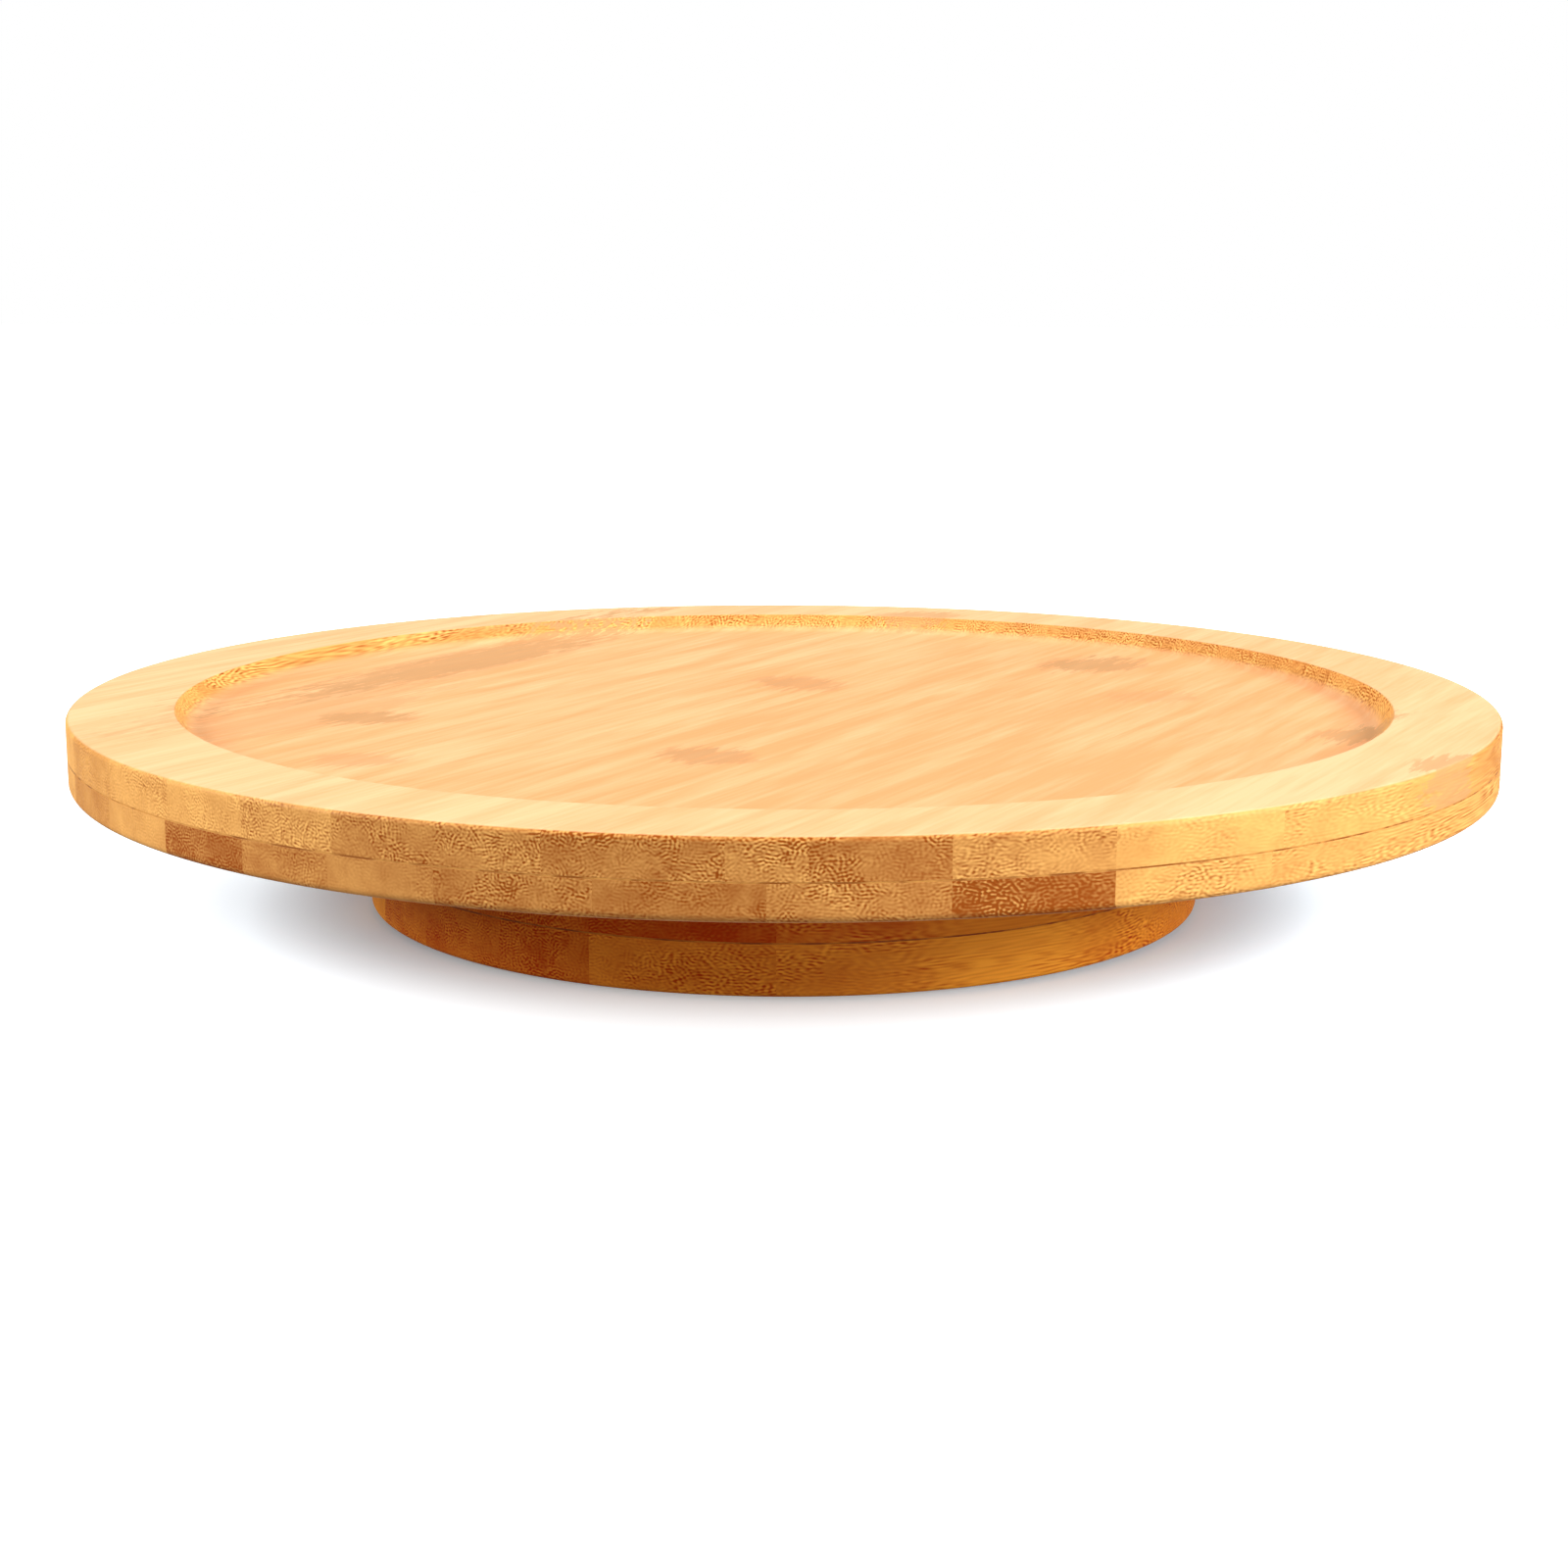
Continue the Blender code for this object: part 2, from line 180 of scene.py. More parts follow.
def floor_shader(n, colour, glow):
    """Matt and without a highlight, with a white glow of its own."""
    shader = n.add("BsdfPrincipled")
    shader.inputs["Base Color"].default_value = (*colour, 1)
    shader.inputs["Roughness"].default_value = 0.9
    shader.inputs["Specular IOR Level"].default_value = 0.0
    shader.inputs["Emission Color"].default_value = (1, 1, 1, 1)
    n.feed(shader.inputs["Emission Strength"], glow)
    return shader


def mix_shaders(n, share, first, second):
    mixed = n.add("MixShader")
    for socket, value in zip(mixed.inputs, (share, first.outputs[0], second.outputs[0])):
        n.feed(socket, value)
    return mixed


def area_light(name, place, target, size, watts):
    data = bpy.data.lights.new(name, "AREA")
    data.shape = "RECTANGLE"
    data.size, data.size_y = size
    data.energy = watts
    light = bpy.data.objects.new(name, data)
    light.location = place
    light.rotation_euler = (Vector(target) - Vector(place)).to_track_quat("-Z", "Y").to_euler()
    bpy.context.scene.collection.objects.link(light)


def add_lights():
    """Soft boxes overhead and at both sides; the world is white to the eye and gentler as light."""
    target = (0, 0, 0.03)
    world_glow_as_light = 0.16
    area_light("overhead", place=(0.0, 0.5, 2.0), target=target, size=(1.8, 1.4), watts=15.0)
    area_light("right_box", place=(2.05, -0.85, 1.15), target=target, size=(1.1, 1.1), watts=92.0)
    area_light("left_box", place=(-2.1, -0.45, 1.15), target=target, size=(1.1, 1.1), watts=66.0)
    area_light("low_front", place=(0.95, -2.05, 0.45), target=target, size=(0.5, 0.3), watts=9.0)
    world = bpy.data.worlds.new("studio")
    world.use_nodes = True
    bpy.context.scene.world = world
    tree = world.node_tree
    background = tree.nodes["Background"]
    path = tree.nodes.new("ShaderNodeLightPath")
    strength = tree.nodes.new("ShaderNodeMapRange")
    strength.inputs["To Min"].default_value = world_glow_as_light
    strength.inputs["To Max"].default_value = 1.0
    background.inputs["Color"].default_value = (1, 1, 1, 1)
    tree.links.new(path.outputs["Is Camera Ray"], strength.inputs["Value"])
    tree.links.new(strength.outputs["Result"], background.inputs["Strength"])
    bpy.context.scene.view_settings.view_transform = "Standard"


# ---------------------------------------------------------------- node helpers


class Nodes:
    """Short ways to add and join nodes in one tree."""

    def __init__(self, tree):
        self.tree = tree

    def add(self, kind, **settings):
        node = self.tree.nodes.new("ShaderNode" + kind)
        for name, value in settings.items():
            setattr(node, name, value)
        return node

    def feed(self, socket, value):
        """Links a value that is a socket, or else sets it as the socket's constant."""
        if isinstance(value, bpy.types.NodeSocket):
            self.tree.links.new(value, socket)
        else:
            socket.default_value = value

    def math(self, operation, first, second=0.0, clamp=False):
        node = self.add("Math", operation=operation, use_clamp=clamp)
        self.feed(node.inputs[0], first)
        self.feed(node.inputs[1], second)
        return node.outputs[0]

    def total(self, *parts, clamp=False):
        """Adds up values, each given with its share; clamp keeps the whole between 0 and 1."""
        whole = self.math("MULTIPLY", *parts[0])
        for number, (value, share) in enumerate(parts[1:], start=2):
            last = number == len(parts)
            whole = self.math("ADD", whole, self.math("MULTIPLY", value, share), clamp=clamp and last)
        return whole

    def vector(self, operation, first, second):
        node = self.add("VectorMath", operation=operation)
        self.feed(node.inputs[0], first)
        self.feed(node.inputs[1], second)
        return node.outputs["Value" if operation in ("DOT_PRODUCT", "LENGTH") else "Vector"]

    def join(self, x, y, z):
        node = self.add("CombineXYZ")
        for socket, value in zip(node.inputs, (x, y, z)):
            self.feed(socket, value)
        return node.outputs[0]

    def split(self, vector):
        node = self.add("SeparateXYZ")
        self.feed(node.inputs[0], vector)
        return node.outputs

    def noise(self, vector, scale, detail=2.0, roughness=0.5, distortion=0.0):
        node = self.add("TexNoise")
        self.feed(node.inputs["Vector"], vector)
        self.feed(node.inputs["Scale"], scale)
        self.feed(node.inputs["Detail"], detail)
        self.feed(node.inputs["Roughness"], roughness)
        self.feed(node.inputs["Distortion"], distortion)
        return node.outputs[0]

    def cells(self, vector, scale, randomness=1.0):
        """How far each point is from the middle of its cell."""
        node = self.add("TexVoronoi", feature="F1")
        self.feed(node.inputs["Vector"], vector)
        self.feed(node.inputs["Scale"], scale)
        self.feed(node.inputs["Randomness"], randomness)
        return node.outputs["Distance"]

    def ramp(self, value, low, high, to_low=0.0, to_high=1.0, smooth=True):
        """Maps low..high to to_low..to_high, clamped, with soft ends unless smooth is off."""
        node = self.add("MapRange", interpolation_type="SMOOTHSTEP" if smooth else "LINEAR")
        self.feed(node.inputs["Value"], value)
        self.feed(node.inputs["From Min"], low)
        self.feed(node.inputs["From Max"], high)
        self.feed(node.inputs["To Min"], to_low)
        self.feed(node.inputs["To Max"], to_high)
        return node.outputs["Result"]

    def mix(self, share, first, second, blend="MIX"):
        node = self.add("Mix", data_type="RGBA", blend_type=blend)
        self.feed(node.inputs["Factor"], share)
        self.feed(node.inputs[6], first)
        self.feed(node.inputs[7], second)
        return node.outputs[2]


def sockets(kind, *names):
    """Sockets of one kind for new_group."""
    return [(name, kind) for name in names]


def new_group(name, inputs, outputs):
    """An empty node group with named sockets: pairs of name and kind."""
    group = bpy.data.node_groups.new(name, "ShaderNodeTree")
    for socket, kind in inputs:
        group.interface.new_socket(name=socket, in_out="INPUT", socket_type="NodeSocket" + kind)
    for socket, kind in outputs:
        group.interface.new_socket(name=socket, in_out="OUTPUT", socket_type="NodeSocket" + kind)
    nodes = Nodes(group)
    given = group.nodes.new("NodeGroupInput")
    result = group.nodes.new("NodeGroupOutput")
    return group, nodes, given.outputs, result.inputs


def use_group(nodes, group, **values):
    """Places a group in a tree and feeds its sockets, whose spaces are written as underscores."""
    node = nodes.tree.nodes.new("ShaderNodeGroup")
    node.node_tree = group
    for name, value in values.items():
        nodes.feed(node.inputs[name.replace("_", " ")], value)
    return node.outputs


# ---------------------------------------------------------------- bamboo


def fibre_group():
    """Cut fibre bundles: fingerprint-like rows across the grain, long thin streaks along it.

    Place is in mm: along the grain, across it and up. Every output runs from 0 to 1.
    """
    group, n, given, result = new_group(
        "bamboo_fibres",
        sockets("Vector", "Place") + sockets("Float", "Seed"),
        sockets("Float", "Bundles", "Dots", "Patches", "Lines", "Streaks"),
    )
    seed_shift = 371.0
    row_stretch = 0.06
    along, across, up = n.split(given["Place"])
    across = n.math("ADD", across, n.math("MULTIPLY", given["Seed"], seed_shift))

    def stretched(share, rise=1.0):
        """The place with its length along the grain squeezed, so that a pattern there is drawn out."""
        return n.join(n.math("MULTIPLY", along, share), across, n.math("MULTIPLY", up, rise))

    rows = n.add("TexGabor", gabor_type="3D")
    n.feed(rows.inputs["Vector"], stretched(row_stretch))
    rows.inputs["Scale"].default_value = 0.5
    rows.inputs["Frequency"].default_value = 3.3
    rows.inputs["Anisotropy"].default_value = 0.0
    n.feed(result["Bundles"], n.ramp(rows.outputs["Value"], 0.3, 0.7, smooth=False))
    dots = n.cells(stretched(row_stretch), scale=1.15, randomness=0.95)
    patches = n.noise(stretched(0.3, rise=1.5), scale=0.09)
    lines = n.noise(stretched(0.05), scale=0.9, detail=3.0, roughness=0.6)
    streaks = n.noise(stretched(0.09), scale=0.17, detail=3.0, roughness=0.6, distortion=0.3)
    n.feed(result["Dots"], n.ramp(dots, 0.12, 0.4, 1.0, 0.0))
    n.feed(result["Patches"], n.ramp(patches, 0.4, 0.6))
    n.feed(result["Lines"], n.ramp(lines, 0.3, 0.7, smooth=False))
    n.feed(result["Streaks"], n.ramp(streaks, 0.33, 0.67, smooth=False))
    return group


def patch_group():
    """One darker patch, as where a strip crosses a joint of the cane, with ends that are ragged.

    Its outline is a lens: the place is counted from its middle, as shares of half its length and width.
    """
    group, n, given, result = new_group(
        "bamboo_patch",
        sockets("Vector", "Place")
        + sockets("Float", "Ragged", "Along", "Across", "Length", "Width", "Slant", "Strength", "Before"),
        sockets("Float", "Patch"),
    )
    lens_power = 1.6
    ragged_share = 1.8
    along, across, up = n.split(given["Place"])
    half_width = n.math("MULTIPLY", given["Width"], 0.5)
    half_length = n.math("MULTIPLY", given["Length"], 0.5)
    side = n.math("DIVIDE", n.math("SUBTRACT", across, given["Across"]), half_width)
    reach = n.math("MULTIPLY", given["Length"], ragged_share)
    ragged = n.math("MULTIPLY", n.math("SUBTRACT", given["Ragged"], 0.5), reach)
    lean = n.math("MULTIPLY", n.math("MULTIPLY", side, given["Slant"]), given["Length"])
    off = n.math("ADD", n.math("SUBTRACT", along, given["Along"]), n.math("ADD", ragged, lean))
    end = n.math("DIVIDE", off, half_length)
    side_part = n.math("POWER", n.math("ABSOLUTE", side), lens_power)
    end_part = n.math("POWER", n.math("ABSOLUTE", end), lens_power)
    lens = n.math("ADD", side_part, end_part)
    inside = n.math("MULTIPLY", n.ramp(lens, 0.65, 1.25, 1.0, 0.0), given["Strength"])
    n.feed(result["Patch"], n.math("MAXIMUM", inside, given["Before"]))
    return group


def face_colour(n, given, fibre):
    """Flat faces are pale, with soft streaks and fine lines."""
    all_pale_below = 0.3
    dark = n.total(
        (fibre["Streaks"], 0.62), (fibre["Lines"], 0.25), (given["Tone"], 0.35), (given["Depth"], 0.45)
    )
    return n.mix(n.math("SUBTRACT", dark, all_pale_below, clamp=True), given["Face Pale"], given["Face Deep"])


def bundle_rows(n, given, fibre):
    """Rows of fibre bundles on a cut edge come and go in patches, and are strong on the recess's wall."""
    rows = n.math("SUBTRACT", fibre["Bundles"], 0.5)
    rows = n.math("ADD", rows, n.math("MULTIPLY", fibre["Dots"], 0.3))
    mottle = n.math("MAXIMUM", given["Mottle"], n.math("MULTIPLY", given["Inside"], 0.85))
    amount = n.math("MULTIPLY", mottle, n.ramp(fibre["Patches"], 0.0, 1.0, 0.35, 1.15, smooth=False))
    return n.math("MULTIPLY", rows, amount)


def edge_colour(n, given, fibre, rows):
    """Cut edges have the strip's tone with the rows over it.

    Where the edge runs along the grain the strip shows its side, which Long Grain darkens (or, below 0,
    lightens).
    """
    inside = given["Inside"]
    tone_share = n.ramp(inside, 0.0, 1.0, 0.8, 0.3)
    side_streaks = n.ramp(fibre["Streaks"], 0.0, 1.0, 0.6, 1.4)
    side_on = n.math("MULTIPLY", n.ramp(given["End"], 0.28, 0.08), side_streaks)
    side_on = n.math("MULTIPLY", side_on, n.math("SUBTRACT", 1.0, inside))
    dark = n.total(
        (rows, 1.0), (given["Tone"], tone_share), (fibre["Streaks"], 0.2), (inside, 0.2),
        (side_on, given["Long Grain"]), clamp=True,
    )
    return n.mix(dark, given["Edge Pale"], given["Edge Deep"])


def board_group(fibres):
    """Colour, roughness and relief of a board, from the strip that a point lies in."""
    group, n, given, result = new_group(
        "bamboo_board",
        sockets("Vector", "Place", "Facing")
        + sockets("Float", "Tone", "Seed", "Patch", "Mottle", "Depth", "Inside", "End", "Long Grain")
        + sockets("Color", "Face Pale", "Face Deep", "Edge Pale", "Edge Deep", "Patch Colour"),
        sockets("Color", "Colour") + sockets("Float", "Roughness", "Height"),
    )
    flat_upright = 0.985
    wall_upright = 0.72
    fibre = use_group(n, fibres, Place=given["Place"], Seed=given["Seed"])
    upright = n.math("ABSOLUTE", n.split(given["Facing"])[2])
    wall = n.ramp(upright, flat_upright, wall_upright)
    rows = bundle_rows(n, given, fibre)
    colour = n.mix(wall, face_colour(n, given, fibre), edge_colour(n, given, fibre, rows))
    stain = n.math("MULTIPLY", given["Patch"], n.ramp(fibre["Lines"], 0.1, 0.9, 1.0, 0.72, smooth=False))
    n.feed(result["Colour"], n.mix(stain, colour, given["Patch Colour"]))
    n.feed(result["Roughness"], n.ramp(fibre["Lines"], 0.0, 1.0, 0.46, 0.62, smooth=False))
    grooves = n.math("MULTIPLY", rows, wall)
    n.feed(result["Height"], n.math("SUBTRACT", n.math("MULTIPLY", fibre["Lines"], -0.12), grooves))
    return group


def strip_layout(n, across, strips):
    """Gives each strip of a board its tone, seed and mottling, from one side to the other.

    across is in board radii, as each strip's edge is; strips lists (edge, tone, mottle), and each strip runs
    to the next edge.
    """
    node = n.add("ValToRGB")
    node.color_ramp.interpolation = "CONSTANT"
    n.feed(node.inputs["Fac"], n.ramp(across, -1.0, 1.0, smooth=False))
    stops = node.color_ramp.elements
    for number, (edge, tone, mottle) in enumerate(strips):
        stop = stops[number] if number < 2 else stops.new(1.0)
        stop.position = (edge + 1) / 2
        stop.color = (tone, (number * SEED_STEP) % 1.0, mottle, 1.0)
    channels = n.add("SeparateColor")
    n.feed(channels.inputs[0], node.outputs["Color"])
    return channels.outputs


def grain_place(n, place, grain):
    """A place in mm, as along the grain, across it and up."""
    node = n.add("Mapping", vector_type="POINT")
    node.inputs["Rotation"].default_value = (0, 0, -grain)
    node.inputs["Scale"].default_value = (1 / MM, 1 / MM, 1 / MM)
    n.feed(node.inputs["Vector"], place)
    return node.outputs["Vector"]


def from_axis(n, place):
    """How far a place is from the axis that the tray turns on."""
    return n.vector("LENGTH", n.vector("MULTIPLY", place, (1, 1, 0)), (0, 0, 0))


def joint_patches(n, group, place, radius, patches):
    """All the darker patches of a board as one mask, each laid over the ones before it."""
    drawn_out = n.vector("MULTIPLY", place, (0.12, 1.0, 1.0))
    ragged = n.noise(drawn_out, scale=0.8, detail=3.0, roughness=0.65)
    patch = 0.0
    for along, across, length, width, slant, strength in patches:
        patch = use_group(
            n, group, Place=place, Ragged=ragged, Along=along * radius, Across=across * radius,
            Length=length * radius, Width=width * radius, Slant=slant, Strength=strength, Before=patch,
        )["Patch"]
    return patch


def add_relief(n, shader, height, strength, distance):
    """Raises and sinks the surface by a height that runs from about -1 to 1."""
    relief = n.add("Bump")
    relief.inputs["Strength"].default_value = strength
    relief.inputs["Distance"].default_value = distance
    n.feed(relief.inputs["Height"], height)
    n.feed(shader.inputs["Normal"], relief.outputs["Normal"])


def bamboo(name, groups, board):
    """A laminated bamboo board under clear satin lacquer."""
    deep_from = board["top"] - 0.5 * MM
    deep_to = board["top"] - 3.5 * MM
    wall_to = RECESS_RADIUS + 1 * MM
    rim_from = RECESS_RADIUS + 4 * MM
    made = bpy.data.materials.new(name)
    made.use_nodes = True
    n = Nodes(made.node_tree)
    shader = made.node_tree.nodes["Principled BSDF"]
    places = n.add("TexCoord")
    place = grain_place(n, places.outputs["Object"], board["grain"])
    radius = board["radius"] / MM
    tone, seed, mottle = strip_layout(n, n.math("DIVIDE", n.split(place)[1], radius), board["strips"])
    patch = joint_patches(n, groups["patch"], place, radius, board["patches"])
    depth = n.ramp(n.split(places.outputs["Object"])[2], deep_from, deep_to)
    run = (math.cos(board["grain"]), math.sin(board["grain"]), 0)
    end = n.math("ABSOLUTE", n.vector("DOT_PRODUCT", places.outputs["Normal"], run))
    inside = 0.0
    if board["recessed"]:
        inside = n.ramp(from_axis(n, places.outputs["Object"]), rim_from, wall_to)
    look = use_group(
        n, groups["board"], Place=place, Facing=places.outputs["Normal"], Tone=tone, Seed=seed, Mottle=mottle,
        Patch=patch, Depth=depth, Inside=inside, End=end, Long_Grain=board["long_grain"],
        **{key: (*value, 1) for key, value in board["colours"].items()},
    )
    n.feed(shader.inputs["Base Color"], look["Colour"])
    n.feed(shader.inputs["Roughness"], look["Roughness"])
    shader.inputs["Specular IOR Level"].default_value = board["sheen"]
    add_relief(n, shader, look["Height"], strength=0.6, distance=0.08 * MM)
    return made


# ---------------------------------------------------------------- turned shapes


def arc(centre, radius, start, end, pieces=8):
    """Points of a round stretch of an outline, in degrees, both ends included."""
    angles = [math.radians(start + (end - start) * i / pieces) for i in range(pieces + 1)]
    return [(centre[0] + radius * math.cos(a), centre[1] + radius * math.sin(a)) for a in angles]


def with_supports(outline):
    """Adds a point just inside each end of every long straight run."""
    made = []
    for start, end in zip(outline, outline[1:]):
        run = Vector(end) - Vector(start)
        made.append(start)
        if run.length > 4 * SUPPORT:
            step = run.normalized() * SUPPORT
            made += [tuple(Vector(start) + step), tuple(Vector(end) - step)]
    return made + [outline[-1]]


def solid(name, shape):
    """An object made from a bmesh."""
    mesh = bpy.data.meshes.new(name)
    shape.to_mesh(mesh)
    shape.free()
    piece = bpy.data.objects.new(name, mesh)
    bpy.context.scene.collection.objects.link(piece)
    return piece


def turned(name, outline, steps=TURN_STEPS, closed=False):
    """A round piece: (radius, height) points turned about Z, from axis to axis or as a closed ring."""
    outline = with_supports(outline + outline[:1] if closed else outline)
    shape = bmesh.new()
    rings = []
    for radius, height in outline[:-1] if closed else outline:
        count = steps if radius > AXIS_REACH else 1
        angles = [math.tau * i / count for i in range(count)]
        rings.append([shape.verts.new((radius * math.cos(a), radius * math.sin(a), height)) for a in angles])
    pairs = list(zip(rings, rings[1:] + rings[:1])) if closed else list(zip(rings, rings[1:]))
    for low, high in pairs:
        for i in range(steps):
            j = (i + 1) % steps
            corners = [low[i % len(low)], low[j % len(low)], high[j % len(high)], high[i % len(high)]]
            shape.faces.new(list(dict.fromkeys(corners)))
    bmesh.ops.recalc_face_normals(shape, faces=shape.faces)
    piece = solid(name, shape)
    piece.data.shade_smooth()
    return piece


def rods(name, places, steps=SMALL_TURN_STEPS):
    """Upright round rods, as (x, y, low, high, radius)."""
    shape = bmesh.new()
    for x, y, low, high, radius in places:
        middle = Matrix.Translation((x, y, (low + high) / 2))
        size = {"radius1": radius, "radius2": radius, "depth": high - low}
        bmesh.ops.create_cone(shape, cap_ends=True, segments=steps, matrix=middle, **size)
    return solid(name, shape)


def prism(name, outline, low, high, taper=1.0):
    """An upright block with the given outline; its lower end is taper times as big as its upper one."""
    shape = bmesh.new()
    upper = [shape.verts.new((x, y, high)) for x, y in outline]
    lower = [shape.verts.new((x * taper, y * taper, low)) for x, y in outline]
    shape.faces.new(upper)
    shape.faces.new(lower[::-1])
    for i in range(len(outline)):
        j = (i + 1) % len(outline)
        shape.faces.new((upper[i], lower[i], lower[j], upper[j]))
    bmesh.ops.recalc_face_normals(shape, faces=shape.faces)
    return solid(name, shape)


def cut(piece, tool, operation="DIFFERENCE"):
    """Cuts a piece with a tool for good, and takes the tool away."""
    change = piece.modifiers.new("cut", "BOOLEAN")
    change.operation = operation
    change.solver = "EXACT"
    change.object = tool
    seen = piece.evaluated_get(bpy.context.evaluated_depsgraph_get())
    mesh = bpy.data.meshes.new_from_object(seen)
    piece.modifiers.clear()
    piece.data = mesh
    bpy.data.objects.remove(tool)
    mesh.shade_smooth()
    mesh.set_sharp_from_angle(angle=SHARP_ANGLE)
    return piece


def fillet(outline, radius, pieces=4):
    """Rounds every corner of a closed outline, with at most leg_share of the legs beside it."""
    leg_share = 0.45
    points = [Vector(point) for point in outline]
    made = []
    for before, corner, after in zip(points[-1:] + points[:-1], points, points[1:] + points[:1]):
        back = before - corner
        onward = after - corner
        reach = min(radius, leg_share * back.length, leg_share * onward.length)
        start = corner + back.normalized() * reach
        end = corner + onward.normalized() * reach
        for i in range(pieces + 1):
            t = i / pieces
            made.append(tuple(start * (1 - t) ** 2 + corner * 2 * t * (1 - t) + end * t**2))
    return made


def finish_piece(piece, material, body, slot, *nodes):
    """Gives a piece its material and its body, and hides the CAD nodes that it stands for; slot is not used.
    """
    piece.data.materials.clear()
    piece.data.materials.append(material)
    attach(piece, body)
    if nodes:
        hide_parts(*nodes)
    return piece


def board_outline(radius, low, high, low_rounding, high_rounding, top=None):
    """Half section of a board, from the axis below to the axis above; top replaces the flat upper side."""
    under = arc((radius - low_rounding, low + low_rounding), low_rounding, -90, 0)
    over = arc((radius - high_rounding, high - high_rounding), high_rounding, 0, 90)
    return [(0, low)] + under + over + (top or [(0, high)])


def recess_outline():
    """From the flat rim in: a small lip, the coved wall and the flat floor."""
    cove_stops_short = 6  # degrees of the cove that the lip takes up
    lip_turn_share = 0.8
    lip_out_share = 0.55
    depth = TRAY_TOP - RECESS_FLOOR
    sweep = math.degrees(math.acos(1 - depth / COVE_RADIUS))
    floor_radius = RECESS_RADIUS - COVE_RADIUS * math.sin(math.radians(sweep))
    cove_centre = (floor_radius, RECESS_FLOOR + COVE_RADIUS)
    cove = arc(cove_centre, COVE_RADIUS, sweep - 90 - cove_stops_short, -90, 14)
    lip_centre = (RECESS_RADIUS + RECESS_LIP * lip_out_share, TRAY_TOP - RECESS_LIP)
    lip = arc(lip_centre, RECESS_LIP, 90, 90 + sweep * lip_turn_share, 6)
    return lip + cove + [(0, RECESS_FLOOR)]


# Strips of each board, from one side to the other: edge (in board radii across the grain), tone from 0, pale,
# to 1, dark, and how strong the mottling of its cut edge is
# Tones are partly the strips' own and partly painted shade: strips at the front of the edge are darker, as if
# in shade
TRAY_UPPER_STRIPS = [
    (-1.0, 0.25, 0.5), (-0.895, 0.2, 0.35), (-0.773, 0.48, 0.65), (-0.64, 0.78, 0.75), (-0.512, 0.58, 0.9),
    (-0.437, 0.74, 0.85), (-0.245, 0.62, 0.75), (-0.137, 0.67, 0.7), (0.01, 0.37, 0.7), (0.149, 0.22, 0.6),
    (0.294, 0.28, 0.65), (0.441, 0.4, 0.35), (0.598, 0.15, 0.2), (0.745, 0.4, 0.15), (0.9, 0.3, 0.2),
]
TRAY_LOWER_STRIPS = [
    (-1.0, 0.34, 0.6), (-0.884, 0.26, 0.7), (-0.767, 1.0, 1.0), (-0.64, 0.67, 0.8), (-0.475, 0.79, 0.4),
    (-0.3, 0.71, 0.75), (-0.119, 0.6, 0.3), (0.02, 0.69, 0.4), (0.153, 0.92, 0.5), (0.302, 0.34, 0.2),
    (0.447, 0.57, 0.2), (0.6, 0.25, 0.2), (0.75, 0.4, 0.2), (0.9, 0.3, 0.2),
]
# The upper board is darker at the front than the lower one: painted shade from the tray's shadow above it
BASE_UPPER_STRIPS = [
    (-1.0, 0.75, 0.5), (-0.871, 1.0, 0.35), (-0.609, 0.85, 0.6), (-0.402, 0.75, 0.5), (-0.155, 0.65, 0.4),
    (0.091, 0.5, 0.5), (0.337, 0.3, 0.4), (0.583, 0.6, 0.4), (0.829, 0.35, 0.3),
]
BASE_LOWER_STRIPS = [
    (-1.0, 0.42, 0.75), (-0.871, 0.52, 0.7), (-0.609, 0.82, 0.6), (-0.402, 0.75, 0.55), (-0.155, 0.66, 0.5),
    (0.091, 0.2, 0.5), (0.337, 0.6, 0.5), (0.583, 0.4, 0.4), (0.829, 0.5, 0.3),
]

# Darker patches: place along and across the grain, length and width (all in board radii), slant and strength
TRAY_UPPER_PATCHES = [
    (0.15, 0.665, 1.05, 0.17, 0.0, 0.95),
    (-0.385, 0.462, 0.12, 0.15, 0.1, 1.0),
    (0.2, 0.085, 0.12, 0.17, -0.1, 0.8),
    (0.61, -0.23, 0.18, 0.17, 0.1, 1.0),
    (-0.395, -0.105, 0.11, 0.16, -0.1, 0.9),
    (-0.64, 0.27, 0.1, 0.13, 0.1, 0.6),
    (0.18, -0.79, 0.13, 0.12, 0.2, 0.8),
    (0.35, -0.43, 0.12, 0.15, 0.1, 0.45),
    (0.86, 0.2, 0.12, 0.15, 0.2, 0.7),
    (-0.42, 0.56, 0.6, 0.2, 0.0, 0.45),
    (-0.12, -0.99, 0.14, 0.1, 0.0, 0.75),
]
TRAY_LOWER_PATCHES = [
    (0.3, -0.38, 0.12, 0.18, 0.1, 0.8),
    (-0.25, 0.08, 0.12, 0.16, -0.1, 0.8),
    (0.55, 0.37, 0.14, 0.17, 0.1, 0.7),
    (-0.6, -0.2, 0.14, 0.18, 0.1, 0.8),
    (0.1, 0.67, 0.12, 0.17, 0.1, 0.7),
    (-0.3, -0.7, 0.12, 0.15, 0.1, 0.8),
]
BASE_PATCHES = [
    (0.4, -0.5, 0.15, 0.26, 0.1, 0.5),
    (-0.35, 0.2, 0.15, 0.25, 0.1, 0.5),
    (0.1, 0.68, 0.15, 0.26, 0.1, 0.5),
]

